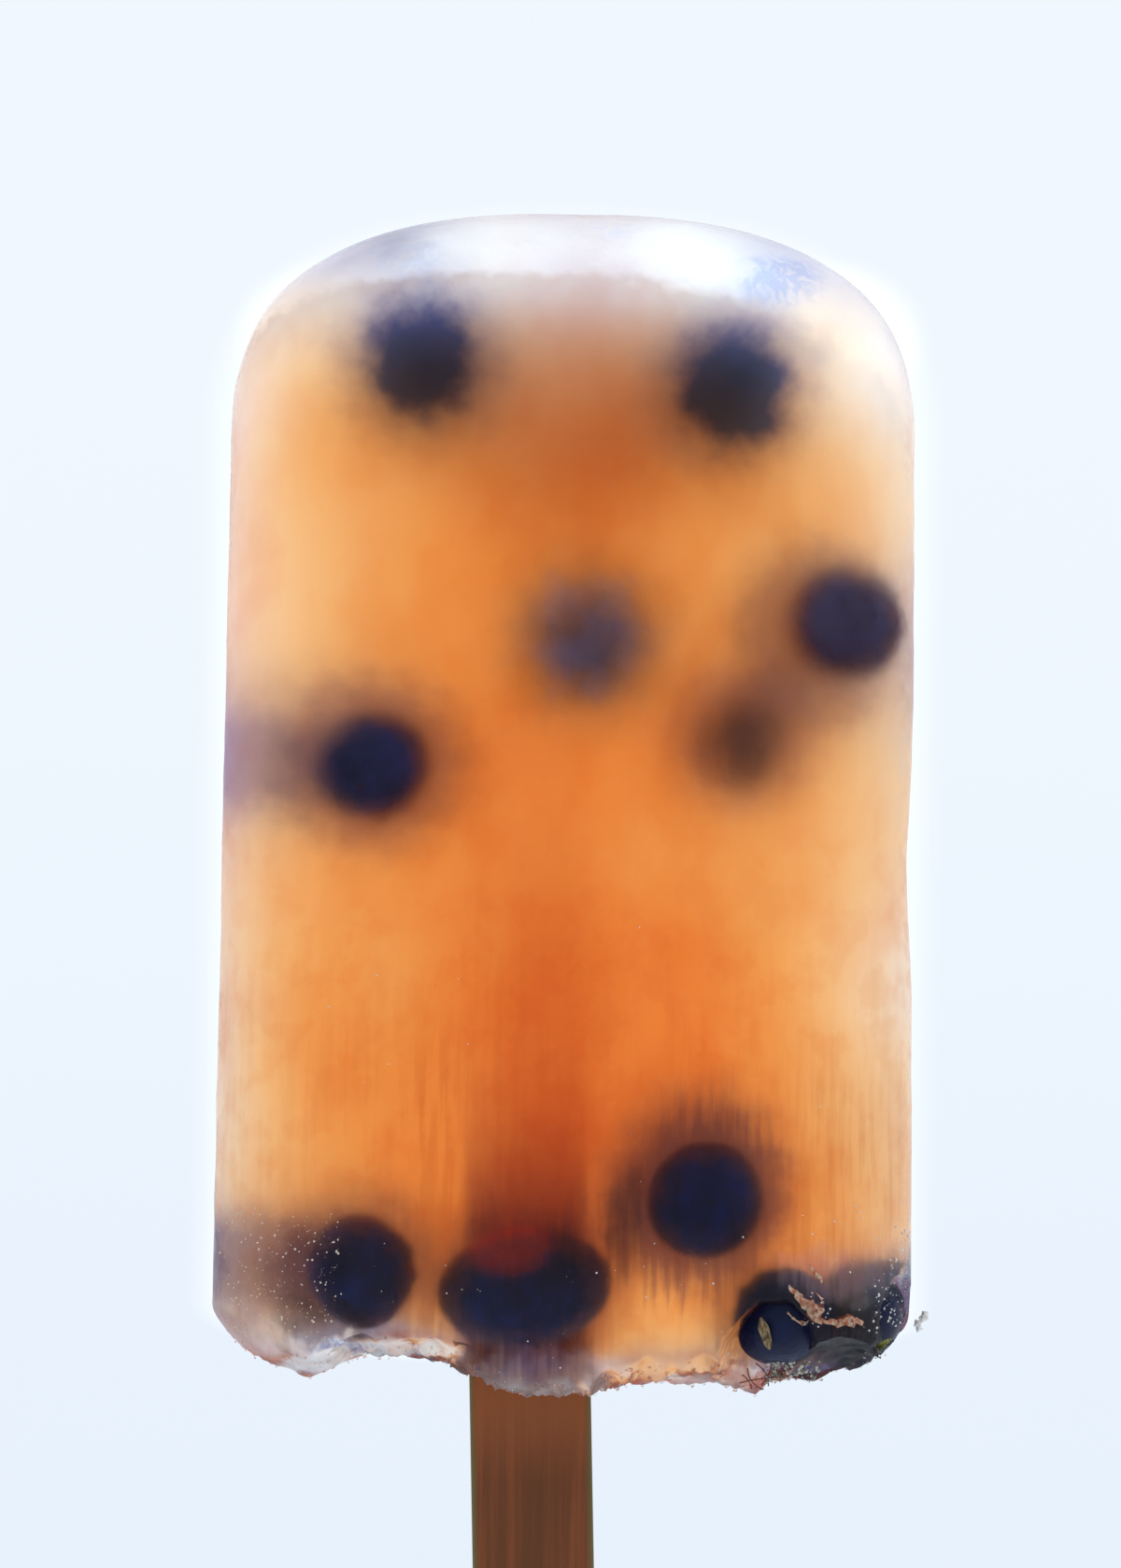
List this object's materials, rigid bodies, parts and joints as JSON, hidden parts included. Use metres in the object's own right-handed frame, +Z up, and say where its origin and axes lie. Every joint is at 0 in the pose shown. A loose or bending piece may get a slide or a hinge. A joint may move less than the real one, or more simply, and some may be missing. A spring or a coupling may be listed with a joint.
{
  "type": "ice lolly",
  "caption": "Round-shouldered slab of translucent amber ice with whole blueberries frozen into it, on a flat wooden stick, lying on its back.",
  "frame": {"origin": "on the surface the lolly lies on, under the middle of the box round the ice and stick", "axes": "+Y along the lolly towards its rounded tip, +Z up out of its shown face, +X to the right as seen from above with the tip at the top"},
  "size_m": [0.0574, 0.1554, 0.0239],
  "materials": {
    "ice": "amber ice, frosted towards the tip and clearer, with fine upright streaks, towards the base",
    "wood": "bare birch, damp and stained brown",
    "berry": "dark blue fruit skin with a pale waxy bloom"
  },
  "bodies": {
    "root": {"ice": "ice", "stick": "wood", "berry_tip_left": "berry", "berry_tip_right": "berry", "berry_upper_middle": "berry", "berry_upper_right": "berry", "berry_middle_right": "berry", "berry_middle_left": "berry", "berry_lower_right": "berry", "berry_by_stick": "berry", "berry_lower_left": "berry", "berry_base_right": "berry", "berry_corner": "berry"}
  },
  "joints": []
}
